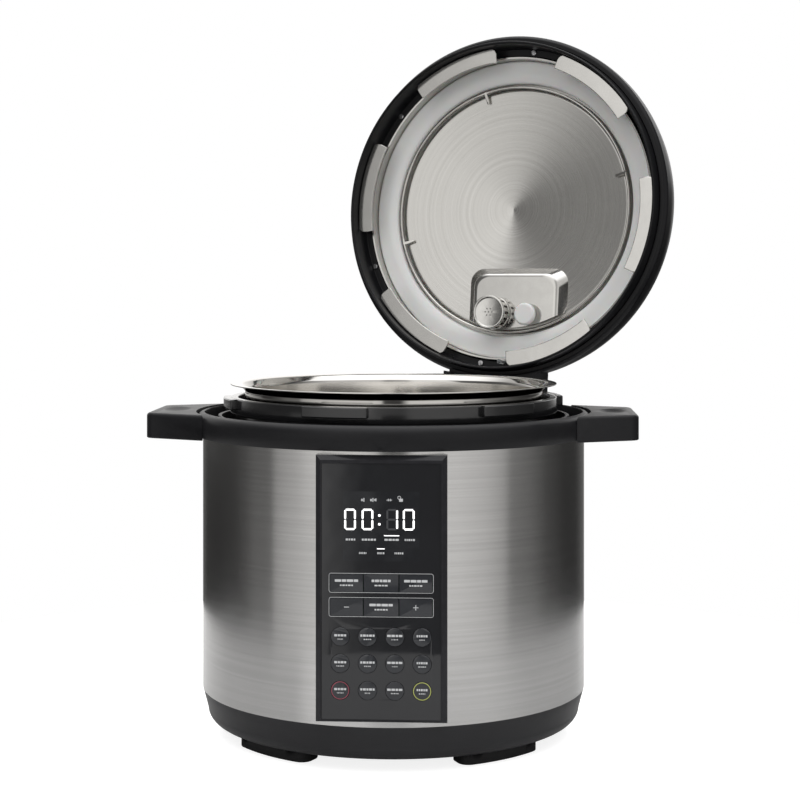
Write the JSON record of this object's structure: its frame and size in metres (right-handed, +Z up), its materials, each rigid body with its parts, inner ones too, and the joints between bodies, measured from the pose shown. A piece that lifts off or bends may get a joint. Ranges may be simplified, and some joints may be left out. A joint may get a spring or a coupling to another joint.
{
  "type": "electric pressure cooker",
  "caption": "Countertop electric pressure cooker with a brushed steel body, flat key panel, side handles, steel inner pot and a hinged turning lid shown open.",
  "frame": {"origin": "on the cooker's axis, at the level of the table its feet stand on", "axes": "+Z up, -Y out of the control panel, +X to the right of someone facing the panel"},
  "size_m": [0.4129, 0.431, 0.5513],
  "materials": {
    "charcoal_plastic": "fine satin grain",
    "black_plastic": "satin",
    "foot_rubber": "matte",
    "brushed_steel": "brushed round the body",
    "lid_steel": "spun satin",
    "polished_steel": "polished",
    "plated_screw": "plated",
    "black_enamel": "gloss enamel",
    "cast_aluminium": "cast",
    "spring_steel": "drawn wire",
    "panel_gloss": "mirror gloss",
    "panel_frame_black": "gloss",
    "key_gloss": "gloss",
    "display_black": "dark display",
    "circuit_board": "solder mask",
    "switch_plastic": "satin",
    "clear_plastic": "clear",
    "white_silicone": "translucent satin"
  },
  "bodies": {
    "base": {"base_pan": "charcoal_plastic", "feet": "foot_rubber", "board_screws": "plated_screw", "outer_shell": "brushed_steel", "collar": "charcoal_plastic", "right_handle": "charcoal_plastic", "left_handle": "charcoal_plastic", "collar_screws": "plated_screw", "outer_pot": "black_enamel", "heating_plate": "cast_aluminium", "thermostat_guide": "cast_aluminium", "thermostat_spring": "spring_steel", "pressure_switch": "switch_plastic", "thermal_fuse": "switch_plastic", "power_board": "circuit_board", "power_inlet": "black_plastic", "cup_bracket": "black_plastic", "panel_frame": "panel_frame_black", "panel_lens": "panel_gloss", "display_module": "display_black", "control_board": "circuit_board", "key_switches": "switch_plastic"},
    "rice_key": {"rice_key": "key_gloss"},
    "biryani_key": {"biryani_key": "key_gloss"},
    "oatmeal_key": {"oatmeal_key": "key_gloss"},
    "meat_key": {"meat_key": "key_gloss"},
    "soup_key": {"soup_key": "key_gloss"},
    "steam_key": {"steam_key": "key_gloss"},
    "cake_key": {"cake_key": "key_gloss"},
    "yogurt_key": {"yogurt_key": "key_gloss"},
    "cancel_key": {"cancel_key": "key_gloss"},
    "keep_warm_key": {"keep_warm_key": "key_gloss"},
    "delay_key": {"delay_key": "key_gloss"},
    "start_key": {"start_key": "key_gloss"},
    "saute_key": {"saute_key": "key_gloss"},
    "pressure_key": {"pressure_key": "key_gloss"},
    "slow_cook_key": {"slow_cook_key": "key_gloss"},
    "minus_key": {"minus_key": "key_gloss"},
    "hour_minute_key": {"hour_minute_key": "key_gloss"},
    "plus_key": {"plus_key": "key_gloss"},
    "thermostat": {"thermostat_plunger": "cast_aluminium"},
    "cup": {"condensate_cup": "clear_plastic"},
    "pot": {"inner_pot": "polished_steel"},
    "carrier": {"hinge_carrier": "charcoal_plastic", "hinge_pin": "polished_steel", "hinge_springs": "spring_steel"},
    "lid": {"lid_shell": "black_plastic", "lid_liner": "black_plastic", "lid_screws": "plated_screw", "lid_catch_pin": "clear_plastic", "steel_lid": "lid_steel", "seal_ring": "white_silicone", "seal_rack": "polished_steel", "valve_plate": "lid_steel", "vent_stem": "polished_steel", "vent_guard": "polished_steel", "lid_grip": "black_plastic"},
    "knob": {"steam_knob": "black_plastic"},
    "float": {"float_valve": "polished_steel", "float_cap": "white_silicone"}
  },
  "joints": [
    {"name": "rice_key_press", "type": "slide", "parent": "base", "child": "rice_key", "axis": [0, 1, 0], "range_m": [0, 0.0005], "stiffness_N_per_m": 900},
    {"name": "biryani_key_press", "type": "slide", "parent": "base", "child": "biryani_key", "axis": [0, 1, 0], "range_m": [0, 0.0005], "stiffness_N_per_m": 900},
    {"name": "oatmeal_key_press", "type": "slide", "parent": "base", "child": "oatmeal_key", "axis": [0, 1, 0], "range_m": [0, 0.0005], "stiffness_N_per_m": 900},
    {"name": "meat_key_press", "type": "slide", "parent": "base", "child": "meat_key", "axis": [0, 1, 0], "range_m": [0, 0.0005], "stiffness_N_per_m": 900},
    {"name": "soup_key_press", "type": "slide", "parent": "base", "child": "soup_key", "axis": [0, 1, 0], "range_m": [0, 0.0005], "stiffness_N_per_m": 900},
    {"name": "steam_key_press", "type": "slide", "parent": "base", "child": "steam_key", "axis": [0, 1, 0], "range_m": [0, 0.0005], "stiffness_N_per_m": 900},
    {"name": "cake_key_press", "type": "slide", "parent": "base", "child": "cake_key", "axis": [0, 1, 0], "range_m": [0, 0.0005], "stiffness_N_per_m": 900},
    {"name": "yogurt_key_press", "type": "slide", "parent": "base", "child": "yogurt_key", "axis": [0, 1, 0], "range_m": [0, 0.0005], "stiffness_N_per_m": 900},
    {"name": "cancel_key_press", "type": "slide", "parent": "base", "child": "cancel_key", "axis": [0, 1, 0], "range_m": [0, 0.0005], "stiffness_N_per_m": 900},
    {"name": "keep_warm_key_press", "type": "slide", "parent": "base", "child": "keep_warm_key", "axis": [0, 1, 0], "range_m": [0, 0.0005], "stiffness_N_per_m": 900},
    {"name": "delay_key_press", "type": "slide", "parent": "base", "child": "delay_key", "axis": [0, 1, 0], "range_m": [0, 0.0005], "stiffness_N_per_m": 900},
    {"name": "start_key_press", "type": "slide", "parent": "base", "child": "start_key", "axis": [0, 1, 0], "range_m": [0, 0.0005], "stiffness_N_per_m": 900},
    {"name": "saute_key_press", "type": "slide", "parent": "base", "child": "saute_key", "axis": [0, 1, 0], "range_m": [0, 0.0005], "stiffness_N_per_m": 900},
    {"name": "pressure_key_press", "type": "slide", "parent": "base", "child": "pressure_key", "axis": [0, 1, 0], "range_m": [0, 0.0005], "stiffness_N_per_m": 900},
    {"name": "slow_cook_key_press", "type": "slide", "parent": "base", "child": "slow_cook_key", "axis": [0, 1, 0], "range_m": [0, 0.0005], "stiffness_N_per_m": 900},
    {"name": "minus_key_press", "type": "slide", "parent": "base", "child": "minus_key", "axis": [0, 1, 0], "range_m": [0, 0.0005], "stiffness_N_per_m": 900},
    {"name": "hour_minute_key_press", "type": "slide", "parent": "base", "child": "hour_minute_key", "axis": [0, 1, 0], "range_m": [0, 0.0005], "stiffness_N_per_m": 900},
    {"name": "plus_key_press", "type": "slide", "parent": "base", "child": "plus_key", "axis": [0, 1, 0], "range_m": [0, 0.0005], "stiffness_N_per_m": 900},
    {"name": "thermostat_travel", "type": "slide", "parent": "base", "child": "thermostat", "axis": [0, 0, 1], "range_m": [-0.0015, 0], "stiffness_N_per_m": 2000, "springref_m": 0.0003, "deforming": ["thermostat_spring"]},
    {"name": "cup_pull", "type": "slide", "parent": "base", "child": "cup", "axis": [0, 1, 0], "range_m": [0, 0.03]},
    {"name": "pot_lift", "type": "slide", "parent": "base", "child": "pot", "axis": [0, 0, 1], "range_m": [0, 0.2]},
    {"name": "lid_twist", "type": "hinge", "parent": "base", "child": "carrier", "pos_m": [0, 0, 0.2305], "axis": [0, 0, -1], "range_deg": [-24, 0]},
    {"name": "lid_swing", "type": "hinge", "parent": "carrier", "child": "lid", "pos_m": [0.07093, 0.15932, 0.2305], "axis": [-0.9135, 0.4067, 0], "range_deg": [-96, 0]},
    {"name": "steam_release", "type": "hinge", "parent": "lid", "child": "knob", "pos_m": [0.09342, 0.2344, 0.30518], "axis": [0.4045, 0.9085, -0.1045], "range_deg": [0, 30]},
    {"name": "float_rise", "type": "slide", "parent": "lid", "child": "float", "axis": [0.4045, 0.9085, -0.1045], "range_m": [0, 0.0028]}
  ]
}
